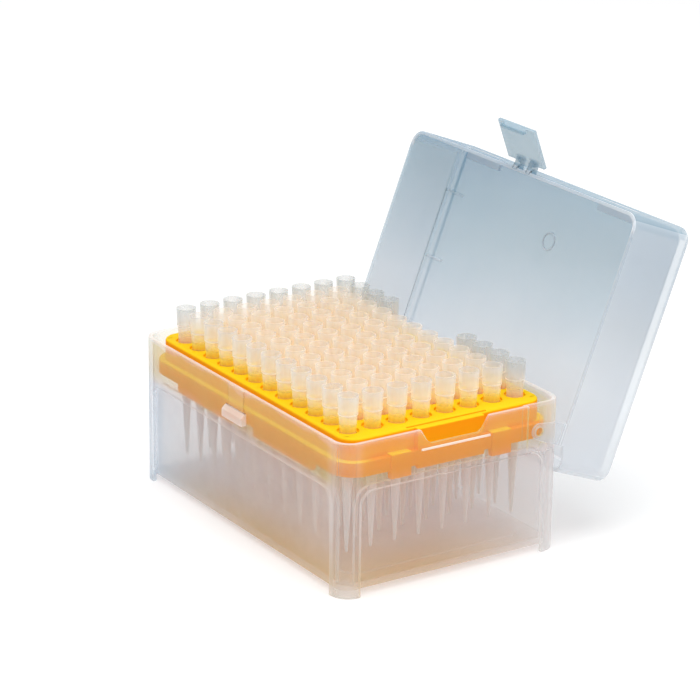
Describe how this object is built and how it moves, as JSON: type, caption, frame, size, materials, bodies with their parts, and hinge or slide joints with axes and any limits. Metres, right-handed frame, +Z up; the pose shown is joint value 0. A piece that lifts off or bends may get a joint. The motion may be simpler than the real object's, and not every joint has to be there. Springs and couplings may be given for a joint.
{
  "type": "pipette tip rack box",
  "caption": "Hinged frosted rack box with a yellow tray of filter pipette tips, a clear lid standing open and a swinging latch.",
  "frame": {"origin": "centre of the base's footprint, on the plane of its feet", "axes": "+Z up; +X along the long side; the latch is on the -Y side and the lid's hinge near the +Y side"},
  "size_m": [0.1262, 0.1342, 0.123],
  "materials": {
    "frosted_box": "frosted translucent polypropylene",
    "clear_lid": "thin clear polypropylene with a cool tint",
    "yellow_tray": "satin opaque polypropylene",
    "tip_plastic": "natural clear polypropylene, frosted at the collar",
    "filter_fibre": "sintered white polyethylene"
  },
  "bodies": {
    "base": {"base_box": "frosted_box", "tip_tray": "yellow_tray", "tip_row_a": "tip_plastic", "tip_row_b": "tip_plastic", "tip_row_c": "tip_plastic", "tip_row_d": "tip_plastic", "tip_row_e": "tip_plastic", "tip_row_f": "tip_plastic", "tip_row_g": "tip_plastic", "tip_row_h": "tip_plastic", "filter_row_a": "filter_fibre", "filter_row_b": "filter_fibre", "filter_row_c": "filter_fibre", "filter_row_d": "filter_fibre", "filter_row_e": "filter_fibre", "filter_row_f": "filter_fibre", "filter_row_g": "filter_fibre", "filter_row_h": "filter_fibre"},
    "lid": {"lid": "clear_lid"},
    "latch": {"latch": "clear_lid"}
  },
  "joints": [
    {"name": "lid_hinge", "type": "hinge", "parent": "base", "child": "lid", "pos_m": [0, 0.03255, 0.04145], "axis": [1, 0, 0], "range_deg": [0, 111]},
    {"name": "latch_hinge", "type": "hinge", "parent": "lid", "child": "latch", "pos_m": [0, 0.07051, 0.10936], "axis": [1, 0, 0], "range_deg": [-75, 49]}
  ]
}
